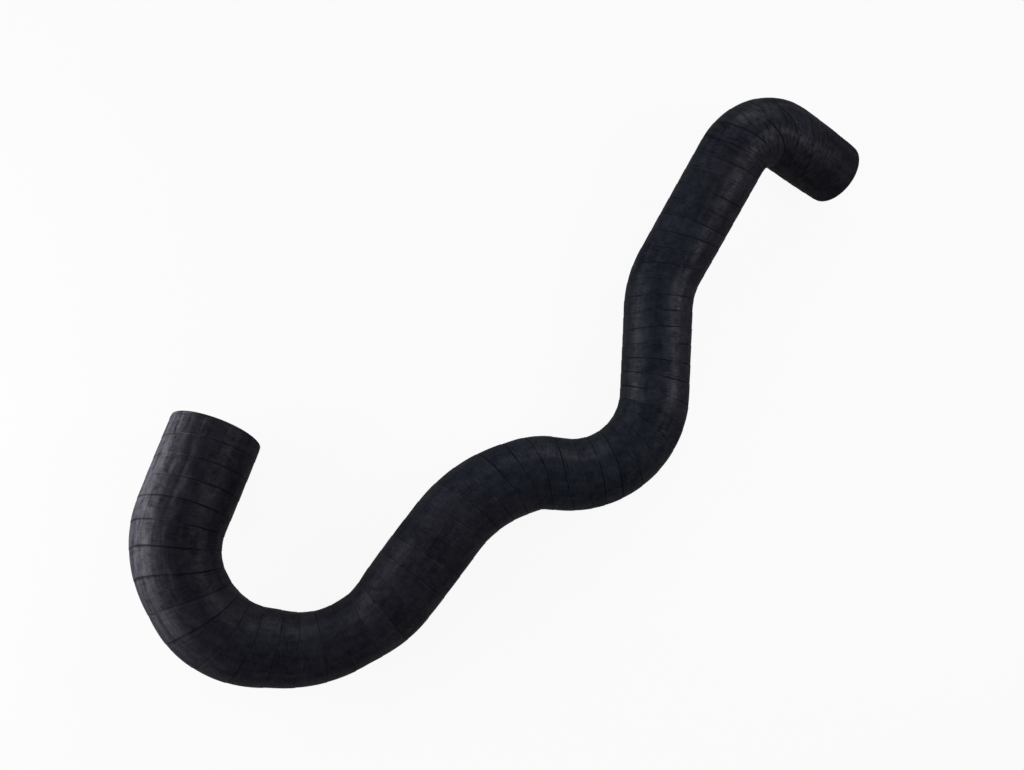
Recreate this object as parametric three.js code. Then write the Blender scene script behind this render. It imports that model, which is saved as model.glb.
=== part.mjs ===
// Intercooler hose: one long moulded rubber hose that carries charge air from a wide inlet to a
// narrow outlet. It is laid up on a bent mandrel, wrapped in tape, cured and cut square at both ends.
// Millimetres, +Z up. The hose lies on the ground as it comes to rest, and the origin is the middle
// of its footprint.

import * as THREE from 'three';
import { ConvexHull } from 'three/addons/math/ConvexHull.js';
import { mergeVertices } from 'three/addons/utils/BufferGeometryUtils.js';

// Wall of the hose, and the small chamfer left on both rims of each cut end.
const WALL = 4.5;
const RIM_CHAMFER = 0.8;

// Bores of the mandrel. The inlet is the wide end, and the throat is the narrow place behind the U bend.
const INLET_BORE = 63;
const CUFF_BORE = 61;
const BEND_BORE = 55.5;
const THROAT_BORE = 44;
const MIDDLE_BORE = 51;
const REDUCED_BORE = 46;
const OUTLET_BORE = 45;
const OUTLET_MOUTH_BORE = 43;

// Distances along the centre line, from the inlet mouth, at which each bore is reached.
const CUFF_END = 70;
const BEND_START = 125;
const BEND_END = 160;
const THROAT_AT = 270;
const MIDDLE_START = 320;
const MIDDLE_END = 400;
const REDUCED_AT = 515;
const OUTLET_START = 660;
const OUTLET_TAPER = 40;

// Straight legs of the centre line, each measured between the corners where it would meet its
// neighbours, and the radii of the bends that round those corners.
const INLET_LEG = 99.5;
const U_LEFT_LEG = 74.9;
const U_BASE_LEG = 79;
const U_RIGHT_LEG = 54.3;
const DIAGONAL_LEG = 117.2;
const SHOULDER_LEG = 51.9;
const SADDLE_LEG = 89.4;
const UPRIGHT_LEG = 155.4;
const RISER_LEG = 151.4;
const OUTLET_LEG = 95.1;
const U_ENTRY_RADIUS = 67.5;
const U_EXIT_RADIUS = 78;
const SHOULDER_RADIUS = 107;
const SADDLE_RADIUS = 44;
const HEEL_RADIUS = 66;
const KNEE_RADIUS = 74;
const OUTLET_RADIUS = 36;

// Route from the inlet mouth to the outlet mouth: the length of each leg, the way it runs as
// proportions of X, Y and Z, and the bend that joins it to the next leg.
const ROUTE = [
  { length: INLET_LEG, way: [-30, -92, 23], bend: U_ENTRY_RADIUS },
  { length: U_LEFT_LEG, way: [33, -66, -13], bend: U_ENTRY_RADIUS },
  { length: U_BASE_LEG, way: [77, -9, -15], bend: U_EXIT_RADIUS },
  { length: U_RIGHT_LEG, way: [47, 27, 3], bend: U_EXIT_RADIUS },
  { length: DIAGONAL_LEG, way: [70, 94, -3], bend: SHOULDER_RADIUS },
  { length: SHOULDER_LEG, way: [49, 17, 2], bend: SADDLE_RADIUS },
  { length: SADDLE_LEG, way: [89, -9, 0], bend: HEEL_RADIUS },
  { length: UPRIGHT_LEG, way: [7, 155, 9], bend: KNEE_RADIUS },
  { length: RISER_LEG, way: [72, 130, 29], bend: OUTLET_RADIUS },
  { length: OUTLET_LEG, way: [76, -31, -48], bend: 0 },
];

// Curing tape: where its first lap crosses the crest, how far it advances in one turn along each
// stretch of the hose, how far it lags behind the bends, and the lap that it leaves in the rubber.
// It runs as a right-handed spiral.
const FIRST_LAP = 16.6;
const CUFF_FEED = 16.5;
const BEND_FEED = 18.3;
const MIDDLE_FEED = 16.9;
const OUTLET_FEED = 13.3;
const END_FEED = 16.5;
const END_WRAP = 80;
const FEED_CHANGE = 40;
const LAG = 22;
const LAP_HEIGHT = 0.5;
const LAP_WIDTH = 1.2;

// A band of the skin between two laps: the raised edge, its foot, and the middle of the band.
const BAND = [
  { part: 0, offset: 0, rise: LAP_HEIGHT },
  { part: 0, offset: LAP_WIDTH, rise: 0 },
  { part: 0.5, offset: 0, rise: LAP_HEIGHT / 2 },
];

// Facets round the hose, the most that the bore's rings lie apart, and the most that they turn.
const SIDES = 24;
const BORE_STEP = 26;
const BORE_TURN = THREE.MathUtils.degToRad(15);

// The hose settles on a face of its hull that leans no more than this from the ground.
const MOST_LEAN = THREE.MathUtils.degToRad(40);

const RUBBER = new THREE.MeshStandardMaterial({ color: 0x232327, roughness: 0.6, metalness: 0 });

const UP = new THREE.Vector3(0, 0, 1);
const DOWN = new THREE.Vector3(0, 0, -1);

// A circular bend between two legs, from its first point through the given angle.
class Bend extends THREE.Curve {
  constructor(start, along, inward, radius, angle) {
    super();
    Object.assign(this, { start, along, inward, radius, angle });
  }

  getPoint(t, target = new THREE.Vector3()) {
    const turned = this.angle * t;
    return target.copy(this.start)
      .addScaledVector(this.along, this.radius * Math.sin(turned))
      .addScaledVector(this.inward, this.radius * (1 - Math.cos(turned)));
  }
}

// The legs and bends of the route as one path. Two neighbouring bends share the leg between them.
function centreLine() {
  const legs = ROUTE.map(({ way }) => new THREE.Vector3(...way).normalize());
  const corners = [new THREE.Vector3()];
  for (const [i, { length }] of ROUTE.entries()) {
    corners.push(corners[i].clone().addScaledVector(legs[i], length));
  }

  const angles = legs.slice(1).map((leg, i) => leg.angleTo(legs[i]));
  const wanted = angles.map((angle, i) => ROUTE[i].bend * Math.tan(angle / 2));
  const room = ROUTE.map(({ length }, i) => length / ((wanted[i - 1] ?? 0) + (wanted[i] ?? 0)));
  const setbacks = wanted.map((setback, i) => setback * Math.min(1, room[i], room[i + 1]));

  const path = new THREE.CurvePath();
  let from = corners[0];
  setbacks.forEach((setback, i) => {
    const [before, after] = [legs[i], legs[i + 1]];
    const start = corners[i + 1].clone().addScaledVector(before, -setback);
    const inward = after.clone().addScaledVector(before, -after.dot(before)).normalize();
    const radius = setback / Math.tan(angles[i] / 2);
    path.add(new THREE.LineCurve3(from, start));
    path.add(new Bend(start, before, inward, radius, angles[i]));
    from = corners[i + 1].clone().addScaledVector(after, setback);
  });
  path.add(new THREE.LineCurve3(from, corners.at(-1)));
  return path;
}

const path = centreLine();
const LENGTH = path.getLength();

// A smooth curve through [distance, value] pairs, level beyond both ends.
function gauge(stations) {
  const at = stations.map(([distance]) => distance);
  const curve = new THREE.CubicInterpolant(at, stations.map(([, value]) => value), 1);
  return (distance) => curve.evaluate(THREE.MathUtils.clamp(distance, at[0], at.at(-1)))[0];
}

const boreAt = gauge([
  [0, INLET_BORE],
  [CUFF_END, CUFF_BORE],
  [BEND_START, BEND_BORE],
  [BEND_END, BEND_BORE],
  [THROAT_AT, THROAT_BORE],
  [MIDDLE_START, MIDDLE_BORE],
  [MIDDLE_END, MIDDLE_BORE],
  [REDUCED_AT, REDUCED_BORE],
  [OUTLET_START, OUTLET_BORE],
  [LENGTH - OUTLET_TAPER, OUTLET_BORE],
  [LENGTH, OUTLET_MOUTH_BORE],
]);

const feedAt = gauge([
  [0, CUFF_FEED],
  [CUFF_END, CUFF_FEED],
  [BEND_START, BEND_FEED],
  [THROAT_AT, BEND_FEED],
  [MIDDLE_START, MIDDLE_FEED],
  [MIDDLE_END, MIDDLE_FEED],
  [REDUCED_AT, OUTLET_FEED],
  [LENGTH - END_WRAP - FEED_CHANGE, OUTLET_FEED],
  [LENGTH - END_WRAP, END_FEED],
]);

// A point of the section at a distance along the hose. Angle 0 is the crest, and the angle grows
// clockwise as seen when looking along the hose towards the outlet.
function sectionPoint(distance, radius, angle) {
  const share = distance / LENGTH;
  const along = path.getTangent(share);
  const side = new THREE.Vector3().crossVectors(along, UP).normalize();
  const crest = new THREE.Vector3().crossVectors(side, along);
  return path.getPoint(share)
    .addScaledVector(crest, radius * Math.cos(angle))
    .addScaledVector(side, radius * Math.sin(angle));
}

// Distances at which the tape's edge passes over the crest, one for each turn. They begin and end
// far enough past the mouths for a whole turn to lie beyond each of them.
function tapeTurns() {
  const turns = [FIRST_LAP];
  while (turns[0] > -2 * feedAt(0)) {
    turns.unshift(turns[0] - feedAt(0));
  }
  while (turns.at(-1) < LENGTH + 2 * feedAt(LENGTH)) {
    turns.push(turns.at(-1) + feedAt(turns.at(-1)));
  }
  return turns;
}

function outsideRadius(distance) {
  return boreAt(distance) / 2 + WALL;
}

// A distance that would pass a mouth, or stop just short of one, is held to that mouth's rim.
function holdToRim(distance) {
  if (distance < RIM_CHAMFER + LAP_WIDTH) return RIM_CHAMFER;
  if (distance > LENGTH - RIM_CHAMFER - LAP_WIDTH) return LENGTH - RIM_CHAMFER;
  return distance;
}

// Distance at which the tape's edge lies after a number of turns, whole or part.
function edgeAt(turns, turn) {
  const whole = THREE.MathUtils.clamp(Math.floor(turn), 0, turns.length - 2);
  return THREE.MathUtils.lerp(turns[whole], turns[whole + 1], turn - whole);
}

// How far the tape leans along the hose at an angle. In a bend it lags, so that each turn leans
// back towards the way in which the hose ran before.
function leanAt(distance, angle) {
  const here = THREE.MathUtils.clamp(distance, 0, LENGTH);
  const before = THREE.MathUtils.clamp(distance - 2 * LAG, 0, LENGTH);
  const outward = sectionPoint(here, 1, angle).sub(path.getPoint(here / LENGTH));
  const turned = path.getTangent(here / LENGTH).sub(path.getTangent(before / LENGTH));
  return turned.dot(outward) * outsideRadius(here) / 2;
}

// Outer skin as a grid of points. Its rows follow the tape's spiral, and each row stops on the rim
// where it would pass a mouth.
function skinGrid() {
  const turns = tapeTurns();
  const grid = [];
  for (let turn = 1; turn < turns.length - 1; turn += 1) {
    for (const { part, offset, rise } of BAND) {
      const row = [];
      for (let side = 0; side < SIDES; side += 1) {
        const twist = side / SIDES - 0.5;
        const wound = edgeAt(turns, turn + part + twist) + offset;
        const distance = wound + leanAt(wound, 2 * Math.PI * twist);
        const held = holdToRim(distance);
        const radius = outsideRadius(held) + (held === distance ? rise : 0);
        row.push(sectionPoint(held, radius, 2 * Math.PI * twist));
      }
      grid.push(row);
    }
  }
  return grid;
}

// Distances of the rings in the bore: both ends of each leg and bend, and evenly between them.
function boreDistances() {
  const distances = [RIM_CHAMFER];
  let reached = 0;
  for (const piece of path.curves) {
    const length = piece.getLength();
    const steps = Math.ceil(Math.max(length / BORE_STEP, (piece.angle ?? 0) / BORE_TURN));
    for (let step = 1; step <= steps; step += 1) {
      distances.push(reached + length * step / steps);
    }
    reached += length;
  }
  distances[distances.length - 1] = LENGTH - RIM_CHAMFER;
  return distances;
}

// Rings of points from the outlet's outer rim, over the cut end, back through the bore and over the
// inlet's cut end to its outer rim.
function boreGrid() {
  const near = RIM_CHAMFER;
  const far = LENGTH - RIM_CHAMFER;
  const rings = [
    [far, outsideRadius(far)],
    [LENGTH, outsideRadius(LENGTH) - RIM_CHAMFER],
    [LENGTH, boreAt(LENGTH) / 2 + RIM_CHAMFER],
    ...boreDistances().reverse().map((distance) => [distance, boreAt(distance) / 2]),
    [0, boreAt(0) / 2 + RIM_CHAMFER],
    [0, outsideRadius(0) - RIM_CHAMFER],
    [near, outsideRadius(near)],
  ];
  return rings.map(([distance, radius]) => {
    const ring = [];
    for (let side = 0; side < SIDES; side += 1) {
      ring.push(sectionPoint(distance, radius, 2 * Math.PI * (side / SIDES - 0.5)));
    }
    return ring;
  });
}

// Triangles between neighbouring rows of a grid. The last side of a row joins the first side of
// the row that lies seam rows further on, which is how a spiral closes.
function gridTriangles(grid, seam) {
  const pointAt = (row, side) => (side < SIDES
    ? grid[row][side]
    : grid[Math.min(row + seam, grid.length - 1)][0]);
  const corners = [];
  for (let row = 0; row < grid.length - 1; row += 1) {
    for (let side = 0; side < SIDES; side += 1) {
      const [a, b] = [pointAt(row, side), pointAt(row, side + 1)];
      const [d, c] = [pointAt(row + 1, side), pointAt(row + 1, side + 1)];
      corners.push(a, b, d, b, c, d);
    }
  }
  return corners;
}

// One closed body from loose triangles: shared corners are merged, and triangles that the rims
// have squeezed to nothing are dropped.
function closedBody(corners) {
  const loose = new THREE.BufferGeometry().setFromPoints(corners);
  const merged = mergeVertices(loose);
  const index = merged.getIndex().array;
  const kept = [];
  for (let i = 0; i < index.length; i += 3) {
    const [a, b, c] = index.slice(i, i + 3);
    if (a !== b && b !== c && c !== a) kept.push(a, b, c);
  }
  merged.setIndex(kept);
  merged.computeVertexNormals();
  return merged;
}

// Centre of mass of a closed body, from the tetrahedra between its faces and the origin.
function centreOfMass(geometry) {
  const position = geometry.getAttribute('position');
  const index = geometry.getIndex();
  const [a, b, c] = [new THREE.Vector3(), new THREE.Vector3(), new THREE.Vector3()];
  const centre = new THREE.Vector3();
  let total = 0;
  for (let i = 0; i < index.count; i += 3) {
    a.fromBufferAttribute(position, index.getX(i));
    b.fromBufferAttribute(position, index.getX(i + 1));
    c.fromBufferAttribute(position, index.getX(i + 2));
    const volume = a.dot(b.clone().cross(c)) / 6;
    centre.addScaledVector(a.add(b).add(c), volume / 4);
    total += volume;
  }
  return centre.divideScalar(total);
}

// Lays a hose down: it is turned onto the face of its hull that brings its weight lowest, then
// moved so that it touches the ground with its footprint round the origin.
function layDown(hose) {
  const points = skinGrid().flat();
  const weight = centreOfMass(hose.geometry);
  const seats = new ConvexHull().setFromPoints(points).faces
    .filter((face) => face.normal.angleTo(DOWN) < MOST_LEAN)
    .sort((one, other) => other.distanceToPoint(weight) - one.distanceToPoint(weight));
  hose.quaternion.setFromUnitVectors(seats[0].normal, DOWN);
  const box = new THREE.Box3().setFromObject(hose, true);
  const middle = box.getCenter(new THREE.Vector3());
  hose.position.set(-middle.x, -middle.y, -box.min.z);
}

const hose = new THREE.Mesh(
  closedBody([...gridTriangles(skinGrid(), BAND.length), ...gridTriangles(boreGrid(), 0)]),
  RUBBER,
);
hose.name = 'hose_body';
layDown(hose);

const part = new THREE.Group();
part.add(hose);

export default part;
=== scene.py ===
# Intercooler hose in its finish: a moulded rubber hose, wrapped in tape while it cured, as it lies
# on a white table. Metres, +Z up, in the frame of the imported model.
import math

import bpy
import bmesh
from mathutils import Matrix, Vector


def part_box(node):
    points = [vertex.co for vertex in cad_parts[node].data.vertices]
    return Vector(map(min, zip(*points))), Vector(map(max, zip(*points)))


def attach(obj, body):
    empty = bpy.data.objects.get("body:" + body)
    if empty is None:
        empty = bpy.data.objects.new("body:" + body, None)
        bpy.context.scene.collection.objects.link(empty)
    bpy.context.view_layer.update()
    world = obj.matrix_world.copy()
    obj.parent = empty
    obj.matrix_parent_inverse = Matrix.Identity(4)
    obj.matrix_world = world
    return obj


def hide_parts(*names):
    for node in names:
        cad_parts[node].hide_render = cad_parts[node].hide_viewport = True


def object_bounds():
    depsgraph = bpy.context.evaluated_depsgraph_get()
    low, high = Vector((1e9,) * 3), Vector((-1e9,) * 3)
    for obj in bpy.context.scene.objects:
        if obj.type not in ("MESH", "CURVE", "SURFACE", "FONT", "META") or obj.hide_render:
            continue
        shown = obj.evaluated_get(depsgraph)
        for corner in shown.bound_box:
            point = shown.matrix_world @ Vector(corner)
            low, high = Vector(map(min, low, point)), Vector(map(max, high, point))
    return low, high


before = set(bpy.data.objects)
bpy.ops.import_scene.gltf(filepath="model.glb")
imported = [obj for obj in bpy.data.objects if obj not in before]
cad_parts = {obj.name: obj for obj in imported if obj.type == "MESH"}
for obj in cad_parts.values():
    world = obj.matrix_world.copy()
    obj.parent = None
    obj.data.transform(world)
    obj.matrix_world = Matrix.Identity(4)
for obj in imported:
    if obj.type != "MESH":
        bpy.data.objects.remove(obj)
cad_low, cad_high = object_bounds()

scene = bpy.context.scene
scene.view_settings.view_transform = "Standard"


# Camera
# It looks down on the hose from almost straight above, a little from the near left, and the long
# way of the hose runs level across the picture.
CAMERA_AT = Vector((-0.0586, -0.1428, 1.1120))
CAMERA_AIM = Vector((0.0031, 0.0022, 0.0350))
PICTURE_UP = Vector((-0.0013, 1, 0))
FOCAL_LENGTH_MM = 49.21

back = (CAMERA_AT - CAMERA_AIM).normalized()
right = PICTURE_UP.cross(back).normalized()
camera = bpy.data.objects.new("camera", bpy.data.cameras.new("camera"))
camera.data.lens = FOCAL_LENGTH_MM
camera.matrix_world = Matrix.Translation(CAMERA_AT) @ Matrix(
    (right, back.cross(right), back)
).transposed().to_4x4()
scene.collection.objects.link(camera)
scene.camera = camera


# Mandrel
# The bent steel rod that the hose is laid up on. Only its centre line and its thickness matter: it
# gives the hose its route and its bore, and it is drawn out again at the end.
LEGS = [
    # length, the way it runs, radius of the bend that follows it
    (0.0995, (-30, -92, 23), 0.0675),
    (0.0749, (33, -66, -13), 0.0675),
    (0.0790, (77, -9, -15), 0.0780),
    (0.0543, (47, 27, 3), 0.0780),
    (0.1172, (70, 94, -3), 0.1070),
    (0.0519, (49, 17, 2), 0.0440),
    (0.0894, (89, -9, 0), 0.0660),
    (0.1554, (7, 155, 9), 0.0740),
    (0.1514, (72, 130, 29), 0.0360),
    (0.0951, (76, -31, -48), 0),
]
POINT_SPACING = 0.0015


def mandrel_line():
    """Points of the centre line, evenly spaced along each leg and each bend."""
    ways = [Vector(way).normalized() for _, way, _ in LEGS]
    angles = [a.angle(b) for a, b in zip(ways, ways[1:])]
    wanted = [radius * math.tan(angle / 2) for (_, _, radius), angle in zip(LEGS, angles)]
    taken = [a + b for a, b in zip([0, *wanted], [*wanted, 0])]
    room = [length / used for (length, _, _), used in zip(LEGS, taken)]
    setbacks = [w * min(1, a, b) for w, a, b in zip(wanted, room, room[1:])]

    points = [Vector((0, 0, 0))]
    corner = Vector((0, 0, 0))
    for i, setback in enumerate(setbacks):
        before, after = ways[i], ways[i + 1]
        corner = corner + before * LEGS[i][0]
        start = corner - before * setback
        run = start - points[-1]
        steps = max(1, round(run.length / POINT_SPACING))
        points += [points[-1] + run * (step / steps) for step in range(1, steps)]
        inward = (after - before * after.dot(before)).normalized()
        radius = setback / math.tan(angles[i] / 2)
        steps = max(2, round(radius * angles[i] / POINT_SPACING))
        for step in range(steps + 1):
            turned = angles[i] * step / steps
            points.append(
                start
                + before * (radius * math.sin(turned))
                + inward * (radius * (1 - math.cos(turned)))
            )
    run = corner + ways[-1] * LEGS[-1][0] - points[-1]
    steps = round(run.length / POINT_SPACING)
    points += [points[-1] + run * (step / steps) for step in range(1, steps + 1)]
    return points


line = mandrel_line()
reached = [0.0]
for a, b in zip(line, line[1:]):
    reached.append(reached[-1] + (b - a).length)
LENGTH = reached[-1]


def gauge(stations):
    """A smooth curve through (distance, value) stations, level beyond both ends."""
    at, values = zip(*stations)
    gaps = [b - a for a, b in zip(at, at[1:])]
    slopes = [
        (values[i + 2] - values[i]) / (at[i + 2] - at[i]) for i in range(len(at) - 2)
    ]
    first = 1.5 * (values[1] - values[0]) / gaps[0] - slopes[0] / 2
    last = 1.5 * (values[-1] - values[-2]) / gaps[-1] - slopes[-1] / 2
    slopes = [first, *slopes, last]

    def value_at(distance):
        distance = min(max(distance, at[0]), at[-1])
        i = max(k for k in range(len(gaps)) if k == 0 or at[k] <= distance)
        t = (distance - at[i]) / gaps[i]
        return (
            values[i] * (1 + 2 * t) * (1 - t) ** 2
            + values[i + 1] * t * t * (3 - 2 * t)
            + slopes[i] * gaps[i] * t * (1 - t) ** 2
            - slopes[i + 1] * gaps[i] * t * t * (1 - t)
        )

    return value_at


# Width of the bore at distances along the hose.
bore_at = gauge([
    (0, 0.063),
    (0.070, 0.061),
    (0.125, 0.0555),
    (0.160, 0.0555),
    (0.270, 0.044),
    (0.320, 0.051),
    (0.400, 0.051),
    (0.515, 0.046),
    (0.660, 0.045),
    (LENGTH - 0.040, 0.045),
    (LENGTH, 0.043),
])

mandrel_curve = bpy.data.curves.new("mandrel", "CURVE")
mandrel_curve.dimensions = "3D"
spline = mandrel_curve.splines.new("POLY")
spline.points.add(len(line) - 1)
for point, place, distance in zip(spline.points, line, reached):
    point.co = (*place, 1)
    point.radius = bore_at(distance) / 2
mandrel = bpy.data.objects.new("mandrel", mandrel_curve)
scene.collection.objects.link(mandrel)


# Curing tape
# A woven nylon tape wound round the raw hose as a right-handed spiral, so that the rubber is
# pressed tight while it cures. It is peeled off afterwards, and each of its laps stays as a fine
# step.
FIRST_LAP = 0.0166
SPARE_LAPS = 2
END_WRAP = 0.080
FEED_CHANGE = 0.040
LAG = 0.022

# How far one turn of the tape feeds along the hose, at distances along it.
feed_at = gauge([
    (0, 0.0165),
    (0.070, 0.0165),
    (0.125, 0.0183),
    (0.270, 0.0183),
    (0.320, 0.0169),
    (0.400, 0.0169),
    (0.515, 0.0133),
    (LENGTH - END_WRAP - FEED_CHANGE, 0.0133),
    (LENGTH - END_WRAP, 0.0165),
])
laps = [FIRST_LAP]
while laps[0] > -SPARE_LAPS * feed_at(0):
    laps.insert(0, laps[0] - feed_at(0))
while laps[-1] < LENGTH + SPARE_LAPS * feed_at(LENGTH):
    laps.append(laps[-1] + feed_at(laps[-1]))

# One loose vertex for each turn of the tape: its X is the distance at which it crosses the crest.
lap_mesh = bpy.data.meshes.new("laps")
lap_mesh.from_pydata([(distance, 0, 0) for distance in laps], [], [])
hose = bpy.data.objects.new("hose", lap_mesh)
scene.collection.objects.link(hose)


# Hose
# One moulded rubber hose with fabric plies bonded into its wall, laid up on the mandrel, taped,
# cured in steam and cut square at both ends. The wall is measured at the foot of each lap.
WALL = 0.0042
RIM_ROUNDING = 0.0005
RIM_SMOOTH_FOR = 0.0025
LAP_HEIGHT = 0.00030
LAP_EDGE_SHARE = 0.0117
PUCKER = 0.000011
PUCKER_PITCH = 0.0046
PUCKER_REACH = 0.004
PUCKER_FROM = 10
PUCKER_SHAKE = 9
PUCKER_SHAKE_SCALE = 60
WAVINESS = 0.0004
WAVE_SCALE = 22
WAVES_READ_AT = 0.03
ROW_CROWDING = 0.9
SIDES = 88
ROWS_PER_TURN = 12
BORE_RINGS = 220
LIP_ROWS = 12
ROUNDING_ROWS = 4
WELD = 0.000005
SKIN, CUT_END, BORE = 0, 0.5, 1


class Socket:
    """An output of a node, with Python's arithmetic on it. Each operation adds one node."""

    def __init__(self, nodes, socket):
        self.nodes = nodes
        self.socket = socket

    def out(self, name):
        """Another output of the same node."""
        return Socket(self.nodes, self.socket.node.outputs[name])

    def math(self, operation, *others):
        return self.nodes.add("ShaderNodeMath", {"operation": operation}, [self, *others])

    def vector(self, operation, *others, output="Vector"):
        return self.nodes.add(
            "ShaderNodeVectorMath", {"operation": operation}, [self, *others], output
        )

    def combined(self, operation, other):
        if self.socket.type == "VECTOR":
            return self.vector(operation, other)
        return self.math(operation, other)

    def __add__(self, other):
        return self.combined("ADD", other)

    def __radd__(self, other):
        return self + other

    def __sub__(self, other):
        return self.combined("SUBTRACT", other)

    def __rsub__(self, other):
        return self.nodes.add("ShaderNodeMath", {"operation": "SUBTRACT"}, [other, self])

    def __mul__(self, other):
        if self.socket.type != "VECTOR":
            return self.math("MULTIPLY", other)
        return self.nodes.add(
            "ShaderNodeVectorMath", {"operation": "SCALE"}, {0: self, "Scale": other}
        )

    def __rmul__(self, other):
        return self * other

    def __truediv__(self, other):
        return self.math("DIVIDE", other)

    def at_least(self, other):
        return self.math("MAXIMUM", other)

    def at_most(self, other):
        return self.math("MINIMUM", other)

    def rising(self, low, high):
        """0 at low and below, 1 at high and above, and a smooth rise from one to the other."""
        return self.nodes.add(
            "ShaderNodeMapRange",
            {"interpolation_type": "SMOOTHSTEP"},
            {"Value": self, "From Min": low, "From Max": high},
        )


class Nodes:
    """Adds nodes to a tree."""

    def __init__(self, tree):
        self.tree = tree

    def add(self, kind, settings=None, inputs=(), output=0):
        """Adds one node: its settings come first, then the values or links of its sockets."""
        node = self.tree.nodes.new(kind)
        for name, value in (settings or {}).items():
            setattr(node, name, value)
        pairs = inputs.items() if isinstance(inputs, dict) else enumerate(inputs)
        for name, value in pairs:
            if isinstance(value, Socket):
                self.tree.links.new(value.socket, node.inputs[name])
            else:
                node.inputs[name].default_value = value
        if node.outputs:
            return Socket(self, node.outputs[output])


tree = bpy.data.node_groups.new("hose on its mandrel", "GeometryNodeTree")
geo = Nodes(tree)
tree.interface.new_socket("Laps", in_out="INPUT", socket_type="NodeSocketGeometry")
tree.interface.new_socket("Hose", in_out="OUTPUT", socket_type="NodeSocketGeometry")
SETTINGS = {
    "Mandrel": ("NodeSocketObject", mandrel),
    "Length": ("NodeSocketFloat", LENGTH),
    "Wall": ("NodeSocketFloat", WALL),
    "Rim Rounding": ("NodeSocketFloat", RIM_ROUNDING),
    "Lap Height": ("NodeSocketFloat", LAP_HEIGHT),
    "Lag": ("NodeSocketFloat", LAG),
    "Pucker": ("NodeSocketFloat", PUCKER),
    "Waviness": ("NodeSocketFloat", WAVINESS),
}
identifiers = {
    name: tree.interface.new_socket(name, in_out="INPUT", socket_type=kind).identifier
    for name, (kind, _) in SETTINGS.items()
}
identifiers["Rubber"] = tree.interface.new_socket(
    "Rubber", in_out="INPUT", socket_type="NodeSocketMaterial"
).identifier
group_input = geo.add("NodeGroupInput")
length = group_input.out("Length")
wall = group_input.out("Wall")
rim = group_input.out("Rim Rounding")
mandrel_geometry = geo.add(
    "GeometryNodeObjectInfo", None, {"Object": group_input.out("Mandrel")}, "Geometry"
)


def along_mandrel(distance, wanted):
    """Position, Tangent or Value (the bore's radius) of the mandrel at a distance along it."""
    return geo.add(
        "GeometryNodeSampleCurve",
        {"mode": "LENGTH"},
        {
            "Curves": mandrel_geometry,
            "Value": geo.add("GeometryNodeInputRadius"),
            "Length": distance,
        },
        wanted,
    )


def outward_at(distance, twist):
    """The way out of the hose at a share of a turn round it. Share 0 is the crest."""
    tangent = along_mandrel(distance, "Tangent").vector("NORMALIZE")
    side = tangent.vector("CROSS_PRODUCT", (0, 0, 1)).vector("NORMALIZE")
    crest = side.vector("CROSS_PRODUCT", tangent)
    angle = twist * (2 * math.pi)
    return crest * angle.math("COSINE") + side * angle.math("SINE")


def flat_sheet(rows):
    """A flat sheet to be rolled up, SIDES faces across. Its share round and its row follow."""
    sheet = geo.add(
        "GeometryNodeMeshGrid",
        None,
        {"Size X": 1, "Size Y": 1, "Vertices X": SIDES + 1, "Vertices Y": rows + 1},
        "Mesh",
    )
    across = geo.add("ShaderNodeSeparateXYZ", None, [geo.add("GeometryNodeInputPosition")])
    return sheet, across, ((across.out("Y") + 0.5) * rows).math("ROUND")


def rolled(sheet, twist, distance, radius, turns, zone):
    """Rolls a flat sheet round the mandrel, and notes on it what the rubber's finish reads."""
    notes = [
        ("wrap", "CORNER", "FLOAT2", geo.add("ShaderNodeCombineXYZ", None, [twist, turns])),
        (
            "cloth",
            "CORNER",
            "FLOAT2",
            geo.add("ShaderNodeCombineXYZ", None, [twist * (2 * math.pi) * radius, distance]),
        ),
        ("zone", "CORNER", "FLOAT", zone),
    ]
    for name, domain, data_type, value in notes:
        sheet = geo.add(
            "GeometryNodeStoreNamedAttribute",
            {"domain": domain, "data_type": data_type},
            {"Geometry": sheet, "Name": name, "Value": value},
        )
    place = along_mandrel(distance, "Position") + outward_at(distance, twist) * radius
    return geo.add("GeometryNodeSetPosition", None, {"Geometry": sheet, "Position": place})


# Skin: each row of the sheet follows the tape, and stops on a rim where it would pass a mouth. The
# rows crowd round each lap, where the skin drops from one band of the tape to the next. The sheet
# starts one turn into the list of laps, and its last row comes round to the end of the list.
skin_rows = (len(laps) - 3) * ROWS_PER_TURN
sheet, twist, row = flat_sheet(skin_rows)
turn = ((row + 0.5) / ROWS_PER_TURN).math("FLOOR")
step = row / ROWS_PER_TURN - turn
part = step - (step * (2 * math.pi)).math("SINE") * (ROW_CROWDING / (2 * math.pi))
turns = turn + part + twist + 1
whole = turns.math("FLOOR")
lap_before, lap_after = [
    geo.add(
        "ShaderNodeSeparateXYZ",
        None,
        [
            geo.add(
                "GeometryNodeSampleIndex",
                {"data_type": "FLOAT_VECTOR", "domain": "POINT"},
                {
                    "Geometry": group_input.out("Laps"),
                    "Value": geo.add("GeometryNodeInputPosition"),
                    "Index": index,
                },
            )
        ],
    )
    for index in (whole, whole + 1)
]
wound = lap_before + (lap_after - lap_before) * (turns - whole)

# In a bend the tape lags: each turn leans back towards the way that the hose ran before. The bend
# is taken over twice the lag, and halved.
lag = group_input.out("Lag")
turned = along_mandrel(wound, "Tangent") - along_mandrel(wound - lag * 2, "Tangent")
lean = turned.vector("DOT_PRODUCT", outward_at(wound, twist), output="Value")
distance = wound + lean * (along_mandrel(wound, "Value") + wall) * 0.5
held = distance.at_least(rim).at_most(length - rim)
off_rim = (held - rim).at_most(length - rim - held).rising(0, RIM_SMOOTH_FOR)
outward = outward_at(held, twist)
centre = along_mandrel(held, "Position")

drop = (1 - part / LAP_EDGE_SHARE).at_least(0)
band = drop.at_least(part.math("SQRT")) * group_input.out("Lap Height")

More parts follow.
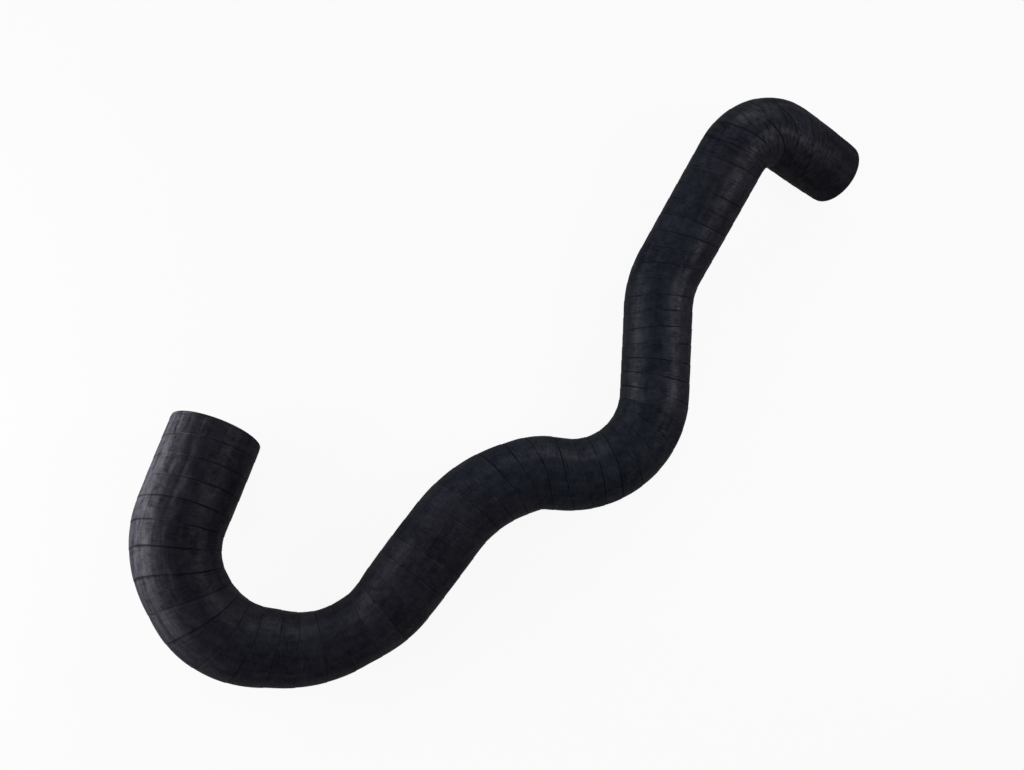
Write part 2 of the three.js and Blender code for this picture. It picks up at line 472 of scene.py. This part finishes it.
# The tape bunches up on the inside of a tight bend, and its creases print there.
ahead = along_mandrel(held + PUCKER_REACH, "Tangent")
behind = along_mandrel(held - PUCKER_REACH, "Tangent")
curving = ahead - behind
tight = curving.vector("DOT_PRODUCT", outward, output="Value") * (0.5 / PUCKER_REACH)
noise_point = centre + outward * WAVES_READ_AT
shake = geo.add(
    "ShaderNodeTexNoise",
    None,
    {"Vector": noise_point, "Scale": PUCKER_SHAKE_SCALE, "Detail": 1},
)
crease = (held * (2 * math.pi / PUCKER_PITCH) + shake * PUCKER_SHAKE).math("SINE")
pucker = crease * (tight - PUCKER_FROM).at_least(0) * group_input.out("Pucker")

wave = geo.add(
    "ShaderNodeTexNoise", None, {"Vector": noise_point, "Scale": WAVE_SCALE, "Detail": 2}
)
waviness = (wave - 0.5) * group_input.out("Waviness")
skin_radius = along_mandrel(held, "Value") + wall + (band + pucker + waviness) * off_rim
skin = rolled(sheet, twist, held, skin_radius, turns, SKIN)

# Bore: plain rings, as smooth as the mandrel.
sheet, twist, row = flat_sheet(BORE_RINGS)
distance = rim + (length - rim * 2) * (row / BORE_RINGS)
bore = rolled(sheet, twist, distance, along_mandrel(distance, "Value"), distance * 0, BORE)

# Cut ends: a flat ring with its two corners rounded off, from the skin's rim to the bore's.
lips = []
for at_outlet in (False, True):
    sheet, twist, row = flat_sheet(LIP_ROWS)
    outer = (row / ROUNDING_ROWS).at_most(1) * (math.pi / 2)
    inner = ((LIP_ROWS - row) / ROUNDING_ROWS).at_most(1) * (math.pi / 2)
    across = ((row - ROUNDING_ROWS) / (LIP_ROWS - 2 * ROUNDING_ROWS)).at_least(0).at_most(1)
    inset = rim * (1 - outer.math("SINE") * inner.math("SINE"))
    distance = length - inset if at_outlet else inset
    bore_radius = along_mandrel(distance, "Value")
    outer_radius = bore_radius + wall - rim * (1 - outer.math("COSINE"))
    inner_radius = bore_radius + rim * (1 - inner.math("COSINE"))
    radius = outer_radius * (1 - across) + inner_radius * across
    lips.append(rolled(sheet, twist, distance, radius, across, CUT_END))

joined = tree.nodes.new("GeometryNodeJoinGeometry")
for piece in (skin, bore, *lips):
    tree.links.new(piece.socket, joined.inputs[0])
welded = geo.add(
    "GeometryNodeMergeByDistance",
    None,
    {"Geometry": Socket(geo, joined.outputs[0]), "Distance": WELD},
)
realised = geo.add("GeometryNodeRealizeInstances", None, [welded])
finished = geo.add(
    "GeometryNodeSetMaterial",
    None,
    {"Geometry": realised, "Material": group_input.out("Rubber")},
)
geo.add("NodeGroupOutput", None, {"Hose": finished})

rubber = bpy.data.materials.new("rubber")
modifier = hose.modifiers.new("laid up", "NODES")
modifier.node_group = tree
for name, (_, value) in SETTINGS.items():
    modifier[identifiers[name]] = value
modifier[identifiers["Rubber"]] = rubber
made = bpy.data.meshes.new_from_object(
    hose.evaluated_get(bpy.context.evaluated_depsgraph_get())
)
hose.modifiers.remove(modifier)
hose.data = made
bpy.data.objects.remove(mandrel)
bpy.data.meshes.remove(lap_mesh)

shell = bmesh.new()
shell.from_mesh(made)
bmesh.ops.recalc_face_normals(shell, faces=shell.faces)
for face in shell.faces:
    face.smooth = True
shell.to_mesh(made)
shell.free()

# The mandrel starts at the inlet. The finished hose is set down where the CAD model lies.
low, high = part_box("hose_body")
xs, ys, zs = zip(*[vertex.co for vertex in made.vertices])
made.transform(
    Matrix.Translation((
        (low[0] + high[0] - min(xs) - max(xs)) / 2,
        (low[1] + high[1] - min(ys) - max(ys)) / 2,
        low[2] - min(zs),
    ))
)

# Rubber: black with a blue cast, neither matt nor shiny. The peeled tape leaves its weave and its
# lap lines in the skin, and the mould wash dries on it in soft blotches and long streaks. Light
# and shade are partly painted into its colour: painted shade in the lap lines, folds and wrinkles
# and on the last leg, and a painted sheen and painted highlights on the lit sides.
INDIGO = (0.0088, 0.0062, 0.0146, 1)
TEAL = (0.0034, 0.0073, 0.0172, 1)
WORN = (0.0144, 0.0148, 0.0240, 1)
# A near black, for the darker tone of the rubber and for painted shade.
DARK_AND_SHADE = (0.0012, 0.0012, 0.0026, 1)
# A pale grey, for the specks of wash and the scratches, and for painted sheen and highlights.
WASH_AND_SHEEN = (0.1750, 0.1660, 0.1980, 1)
FRESH_CUT = (0.0090, 0.0090, 0.0105, 1)
PLY = (0.0600, 0.0560, 0.0520, 1)
SPECULAR_TINT = (0.88, 0.90, 1.00, 1)
DULL_LEVEL = 0.10
DULL_ROUGHNESS = 0.62
POLISHED_LEVEL = 0.50
POLISHED_ROUGHNESS = 0.47

rubber.use_nodes = True
rubber.node_tree.nodes.clear()
paint = Nodes(rubber.node_tree)


def noted(name):
    """What the rolled sheets noted on the hose's skin under this name."""
    return paint.add("ShaderNodeAttribute", {"attribute_name": name}, (), "Vector")


def point(*parts):
    return paint.add("ShaderNodeCombineXYZ", None, parts)


def noise(where, cells=1, detail=2, roughness=0.5):
    """Noise from 0 to 1, with so many cells to the metre, or 1 for a point counted in cells."""
    return paint.add(
        "ShaderNodeTexNoise",
        None,
        {"Vector": where, "Scale": cells, "Detail": detail, "Roughness": roughness},
    )


def mixed(share, first, second):
    """A colour that goes from the first to the second as the share goes from 0 to 1."""
    return paint.add(
        "ShaderNodeMix", {"data_type": "RGBA"}, {0: share, 6: first, 7: second}, 2
    )


place = paint.add("ShaderNodeTexCoord", None, (), "Object")
twist = paint.add("ShaderNodeSeparateXYZ", None, [noted("wrap")])
turns = twist.out("Y")
around = paint.add("ShaderNodeSeparateXYZ", None, [noted("cloth")])
distance = around.out("Y")
zone = paint.add("ShaderNodeAttribute", {"attribute_name": "zone"}, (), "Fac")
on_skin = zone.math("LESS_THAN", (SKIN + CUT_END) / 2)
on_cut = zone.math("LESS_THAN", (CUT_END + BORE) / 2) - on_skin


def near(value, centre, reach, flat=0):
    """1 at the centre and as far as the flat from it, then a smooth fall to 0 at the reach."""
    return 1 - (value - centre).math("ABSOLUTE").rising(flat, reach)


def stretch(start, end):
    """1 along a stretch of the hose, with a soft start and end. Each is a pair of distances."""
    return distance.rising(*start) * (1 - distance.rising(*end))


# Tape: where a point lies across its own lap of the tape, and how far along the tape. Where a
# point for noise holds the lap or a plain number, that only keeps two patterns from being alike.
TAPE_FEED = 0.0165

winding = turns - twist
lap = winding.math("FLOOR")
past_lap = winding.math("FRACT") * TAPE_FEED
across_tape = distance - twist * TAPE_FEED

# Lap lines: a dark line of painted shade in the step, which breaks off here and there, a fainter
# one where the hidden selvedge of the tape lay, and now and then a pale edge, a painted highlight
# on the step. They are deep along the cuff, hardly there in the U, deep again from the saddle to
# the last bend, and faint at both mouths.
INLET_TIGHTNESS = 0.60
TIGHTNESS_CHANGES = [
    # distances between which it changes, and by how much
    (0.03, 0.07, 0.40),
    (0.13, 0.19, -0.55),
    (0.39, 0.44, 0.60),
    (0.85, 0.89, -0.50),
]
LINE_WANDER = 0.0011
LINE_WIDTH = 0.0013
LINE_DARKNESS = 0.9
SELVEDGE_AT = 0.0034
SELVEDGE_WIDTH = 0.00104
SELVEDGE_DARKNESS = 0.45
EDGE_HIGHLIGHT_AT = 0.00247
EDGE_HIGHLIGHT_WIDTH = 0.00117

wound_tight = INLET_TIGHTNESS + sum(
    distance.rising(low, high) * change for low, high, change in TIGHTNESS_CHANGES
)
wandering = past_lap + (noise(point(around, distance, 0), cells=170) - 0.5) * LINE_WANDER
unbroken = noise(point(around, lap * 0.37, 0), cells=34, detail=3, roughness=0.6)
step_line = near(wandering, LINE_WIDTH / 2, LINE_WIDTH) * unbroken.rising(0.33, 0.58)
selvedge = near(wandering, SELVEDGE_AT, SELVEDGE_WIDTH)
selvedge = selvedge * noise(point(around, lap * 0.9, 3), cells=50).rising(0.46, 0.62)
# The dark lines are painted shade, and the same lines are pressed in as grooves in the bump.
groove_and_shade = (step_line * LINE_DARKNESS).at_least(selvedge * SELVEDGE_DARKNESS)
groove_and_shade = groove_and_shade * wound_tight * on_skin
# The pale edge is a painted highlight where the step catches the light.
edge_highlight = near(wandering, EDGE_HIGHLIGHT_AT, EDGE_HIGHLIGHT_WIDTH)
edge_highlight = edge_highlight * noise(point(around, lap, 5), cells=60).rising(0.56, 0.72) * on_skin

# Blotches and streaks of the dried wash, and a tone of its own for each lap of the tape.
blotch = noise(place, cells=150, detail=4, roughness=0.70)
cloud = noise(place, cells=26, detail=3, roughness=0.55)
tint = noise(place, cells=9, detail=1)
tone = noise(point(lap * 0.77, twist * 0.6, 2), detail=1)
streak = noise(point(around * 240, distance * 26, lap * 0.13), detail=4, roughness=0.65)
fine_streak = noise(point(around * 800, distance * 60, lap * 0.51))
ticks = noise(point(around * 130, across_tape * 1150, 7), detail=3, roughness=0.65)

# A pale sheen, painted on, lies in long streaks on the lit outer side of the cuff, from a thin
# line along the crest down to the side of the hose, and fades out in the U.
SHEEN_STRAYS = 0.09
SHEEN_LINE_AT = 0.015
SHEEN_LINE_REACH = 0.02
SHEEN_LINE_LEVEL = 0.25
SHEEN_STARTS = (0.03, 0.13)
SHEEN_STOPS = (0.26, 0.38)
SHEEN_FADES = (0.035, 0.195)

stray = noise(point(around * 70, distance * 30, lap * 0.3), detail=3, roughness=0.6)
strayed = twist + (stray - 0.5) * SHEEN_STRAYS
sheen_line = near(strayed, SHEEN_LINE_AT, SHEEN_LINE_REACH)
sheen = strayed.rising(*SHEEN_STARTS) + sheen_line * SHEEN_LINE_LEVEL
sheen = sheen * (streak * 0.48 + blotch * 0.34 + fine_streak * 0.18).rising(0.33, 0.63)
sheen = sheen * (1 - distance.rising(*SHEEN_FADES)) * (1 - strayed.rising(*SHEEN_STOPS)) * on_skin

# The skin is scuffed in short pale scratches along the upright legs, in the band where the line of
# light falls, so they are partly a painted glint. A few lone specks of the wash lie anywhere.
SCUFFED_AND_LIT = (0.55, 0.60), (0.76, 0.80)
SCUFFS_AT = 0.075
SCUFFS_REACH = 0.035
SCUFFS_FLAT = 0.004
SPECK_CELLS = 95
SPECKS_KEPT = (0.955, 0.960)
SPECK_EDGE = (0.03, 0.06)

scuff_and_glint_band = stretch(*SCUFFED_AND_LIT) * near(twist, SCUFFS_AT, SCUFFS_REACH, SCUFFS_FLAT)
scratches = noise(point(around * 190, across_tape * 900, 4), detail=3, roughness=0.7)
scuff_and_glint = scratches.rising(0.50, 0.64) * scuff_and_glint_band
scuff_and_glint = scuff_and_glint * noise(point(twist * 4, lap * 0.83, 6), detail=1).rising(0.40, 0.60)
specks = paint.add("ShaderNodeTexVoronoi", None, {"Vector": place, "Scale": SPECK_CELLS})
kept = paint.add("ShaderNodeSeparateColor", None, [specks.out("Color")]).rising(*SPECKS_KEPT)
speck = (1 - specks.rising(*SPECK_EDGE)) * kept * on_skin

# Fine wrinkles run across the last bend, where the tape pulled over its tight inner side, and a
# few deeper folds between the laps. Both are bumps, and their dark parts are painted shade.
WRINKLED = (0.775, 0.805), (0.86, 0.89)
WRINKLE_PITCH = 0.0044
WRINKLE_SHAKE = 20
WRINKLE_LEVEL = 0.9
FOLDED = (0.77, 0.79), (0.84, 0.86)
FOLD_PITCH = 0.0092
FOLD_SHAKE = 1.2
FOLD_SHARE = 0.11
FOLD_DARKNESS = 0.7

shaken = distance * (2 * math.pi / WRINKLE_PITCH) + noise(place, cells=60) * WRINKLE_SHAKE
wrinkle = shaken.math("SINE") * stretch(*WRINKLED) * on_skin
wrinkle = wrinkle * noise(place, cells=70).rising(0.32, 0.60) * WRINKLE_LEVEL
folding = distance / FOLD_PITCH + noise(place, cells=25, detail=1) * FOLD_SHAKE
fold = near(folding.math("FRACT"), 0.5, FOLD_SHARE) * noise(place, cells=55).rising(0.40, 0.60)
groove_and_shade = groove_and_shade.at_least(fold * stretch(*FOLDED) * FOLD_DARKNESS * on_skin)

# Weave of the tape, pressed deeper in some places than in others, and the grain of the rubber.
WEAVE_PITCH = 0.0017
LEAST_PRESSED = 0.2

crossing = (around * (2 * math.pi / WEAVE_PITCH)).math("SINE")
crossing = crossing * (across_tape * (2 * math.pi / WEAVE_PITCH)).math("SINE")
pressed = noise(place, cells=110).rising(0.35, 0.65) * (1 - LEAST_PRESSED) + LEAST_PRESSED
weave = crossing * pressed * on_skin
grain = noise(place, cells=1500, roughness=0.6)
pitted = noise(place, cells=380, detail=3, roughness=0.6)

# The black leans to violet at the inlet and the outlet, and to teal from the saddle to the last
# bend, most of all on the side away from the scratches.
TEAL_STRETCH = (0.33, 0.45), (0.80, 0.87)
VIOLET_SIDE = (0, 0.14)
DRIFT = 0.24

teal_side = stretch(*TEAL_STRETCH) - twist.rising(*VIOLET_SIDE)
shade = mixed((tint + teal_side * DRIFT).rising(0.52, 0.68), INDIGO, TEAL)

# It is worn paler in patches and streaks, and darker towards the inlet. It is darker again on the
# last leg, which is painted shade, and the painted sheen lies over it.
BY_INLET = (0.08, 0.14)
BY_OUTLET = (0.83, 0.87)
DARK_SHARE = 0.55
WORN_SHARE = 0.45
SHEEN_COVER = 0.72

by_inlet = 1 - distance.rising(*BY_INLET)
by_outlet = distance.rising(*BY_OUTLET)
wear_and_shade = blotch * 0.34 + streak * 0.26 + ticks * 0.30 + cloud * 0.10 + (tone - 0.5) * 0.20
# Darker towards the inlet, and painted shade on the last leg.
wear_and_shade = wear_and_shade - by_inlet * 0.06 - by_outlet * 0.12
unworn = mixed(DARK_SHARE, shade, DARK_AND_SHADE)
worn = mixed(WORN_SHARE, shade, WORN)
shade = mixed(wear_and_shade.rising(0.33, 0.69), unworn, worn)
# The painted sheen on the lit side of the cuff.
shade = mixed(sheen * SHEEN_COVER, shade, WASH_AND_SHEEN)

# The plies of fabric show in the cut as two rings of thread ends.
PLIES_AT = (0.30, 0.70)
PLY_REACH = 0.09
PLY_FLAT = 0.03
PLY_COVER = 0.7

rings = [near(turns, at, PLY_REACH, PLY_FLAT) for at in PLIES_AT]
threads = noise(point(around * 1300, turns * 3, 1), detail=1).rising(0.42, 0.60)
ply = rings[0].at_least(rings[1]) * threads * on_cut
shade = mixed(on_cut, shade, mixed(ply * PLY_COVER, FRESH_CUT, PLY))

# Over all of it go the painted shade of the lap lines, folds and wrinkles, then the painted
# highlights on the lap edges, the scratches with their painted glint, and the specks.
shade = mixed((groove_and_shade * 0.9 + wrinkle.at_least(0) * 0.45).at_most(1), shade, DARK_AND_SHADE)
shade = mixed((edge_highlight * 0.08 + scuff_and_glint * 0.16 + speck * 0.5).at_most(1), shade, WASH_AND_SHEEN)

# Polished where the tape pressed hardest, dull elsewhere.
MEAN_POLISH = 0.38

polish = (blotch - 0.5) * 1.1 + (ticks - 0.5) * 1.1 + (streak - 0.5) * 0.8 + (tone - 0.5) * 0.6
polish = polish + (cloud - 0.5) * 0.5 + weave * 0.14 - wrinkle * 0.15 + scuff_and_glint * 0.5
polish = (polish - by_outlet * 0.15 + MEAN_POLISH) * (1 - groove_and_shade) * (1 - on_cut)
polish = polish.at_least(0).at_most(1)

# What stands up from the skin or is pressed into it, too fine for the sheets. Depths in metres.
WEAVE_DEPTH = 0.00005
GRAIN_DEPTH = 0.00003
PIT_DEPTH = 0.00014
STREAK_DEPTH = 0.00006
TICK_DEPTH = 0.00006
LINE_DEPTH = 0.00015
WRINKLE_DEPTH = 0.00008
BUMP_STRENGTH = 0.8

height = weave * WEAVE_DEPTH + grain * GRAIN_DEPTH + pitted * PIT_DEPTH
height = height + fine_streak * STREAK_DEPTH + ticks * TICK_DEPTH
height = height - groove_and_shade * LINE_DEPTH - wrinkle * WRINKLE_DEPTH
bump = paint.add(
    "ShaderNodeBump",
    None,
    {"Strength": BUMP_STRENGTH, "Distance": 1, "Height": height},
    "Normal",
)


def rubber_at(level, roughness):
    """The rubber at one degree of polish."""
    return paint.add(
        "ShaderNodeBsdfPrincipled",
        None,
        {
            "Base Color": shade,
            "Roughness": roughness,
            "Specular IOR Level": level,
            "Specular Tint": SPECULAR_TINT,
            "Normal": bump,
        },
    )


dull = rubber_at(DULL_LEVEL, DULL_ROUGHNESS)
polished = rubber_at(POLISHED_LEVEL, POLISHED_ROUGHNESS)
finish = paint.add("ShaderNodeMixShader", None, [polish, dull, polished])
paint.add("ShaderNodeOutputMaterial", None, {"Surface": finish})

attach(hose, "root")
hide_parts("hose_body")


# Table
# A matt white table top under the hose. It shows up as plain white, with only a breath of the
# hose's shadow on it.
TABLE_SIZE = 12
TABLE_COLOUR = (0.80, 0.80, 0.80, 1)
TABLE_GAP = 0.0002
SHOWN_WHITE = 0.92
MIRRORED_LEVEL = 0.20

top = bpy.data.meshes.new("table")
half = TABLE_SIZE / 2
table_height = cad_low[2] - TABLE_GAP
top.from_pydata(
    [(x * half, y * half, table_height) for x, y in ((-1, -1), (1, -1), (1, 1), (-1, 1))],
    [],
    [(0, 1, 2, 3)],
)
table = bpy.data.objects.new("table", top)
scene.collection.objects.link(table)
white = bpy.data.materials.new("white table")
white.use_nodes = True
white.node_tree.nodes.clear()
laid = Nodes(white.node_tree)
seen = laid.add("ShaderNodeLightPath", None, (), "Is Camera Ray")
mirrored = seen.out("Is Glossy Ray").at_least(seen.out("Is Transmission Ray"))
white_share = seen.at_least(mirrored) * SHOWN_WHITE
matt = laid.add("ShaderNodeBsdfDiffuse", None, {"Color": TABLE_COLOUR})
bright = laid.add(
    "ShaderNodeEmission",
    None,
    {"Color": (1, 1, 1, 1), "Strength": seen + mirrored * MIRRORED_LEVEL},
)
laid.add(
    "ShaderNodeOutputMaterial",
    None,
    {"Surface": laid.add("ShaderNodeMixShader", None, [white_share, matt, bright])},
)
top.materials.append(white)


# Lamps
# Soft boxes out of the picture: a broad one low on the left and a small one close by it, a broad
# one behind, and a small one on the right for the second line of light along the upright legs.
LAMPS = [
    # place, aim, width, height, spread in degrees, watts
    ((-1.15, -0.15, 0.42), (-0.10, -0.05, 0.02), 1.2, 0.8, 180, 7.0),
    ((-0.68, -0.08, 0.20), (-0.25, -0.10, 0.03), 0.5, 0.3, 180, 1.3),
    ((0.20, 1.25, 0.70), (0.05, 0, 0.02), 1.0, 0.6, 180, 5.2),
    ((0.62, 0.05, 0.50), (0.13, 0.02, 0.03), 0.3, 0.3, 110, 0.52),
]
for number, (at, aim, width, height, spread, watts) in enumerate(LAMPS):
    lamp = bpy.data.lights.new(f"soft box {number + 1}", "AREA")
    lamp.shape = "RECTANGLE"
    lamp.size = width
    lamp.size_y = height
    lamp.spread = math.radians(spread)
    lamp.energy = watts
    soft_box = bpy.data.objects.new(lamp.name, lamp)
    soft_box.location = at
    soft_box.rotation_euler = (Vector(aim) - Vector(at)).to_track_quat("-Z", "Y").to_euler()
    soft_box.visible_camera = False
    scene.collection.objects.link(soft_box)


# Room
# The white room round the table. To the camera it is as white as the table, and it lights the hose
# dimly from all round.
DIMNESS = 0.25

room = bpy.data.worlds.new("room")
room.use_nodes = True
room.node_tree.nodes.clear()
walls = Nodes(room.node_tree)
camera_ray = walls.add("ShaderNodeLightPath", None, (), "Is Camera Ray")
level = camera_ray * (1 - DIMNESS) + DIMNESS
painted = walls.add("ShaderNodeBackground", None, {"Color": (1, 1, 1, 1), "Strength": level})
walls.add("ShaderNodeOutputWorld", None, {"Surface": painted})
scene.world = room
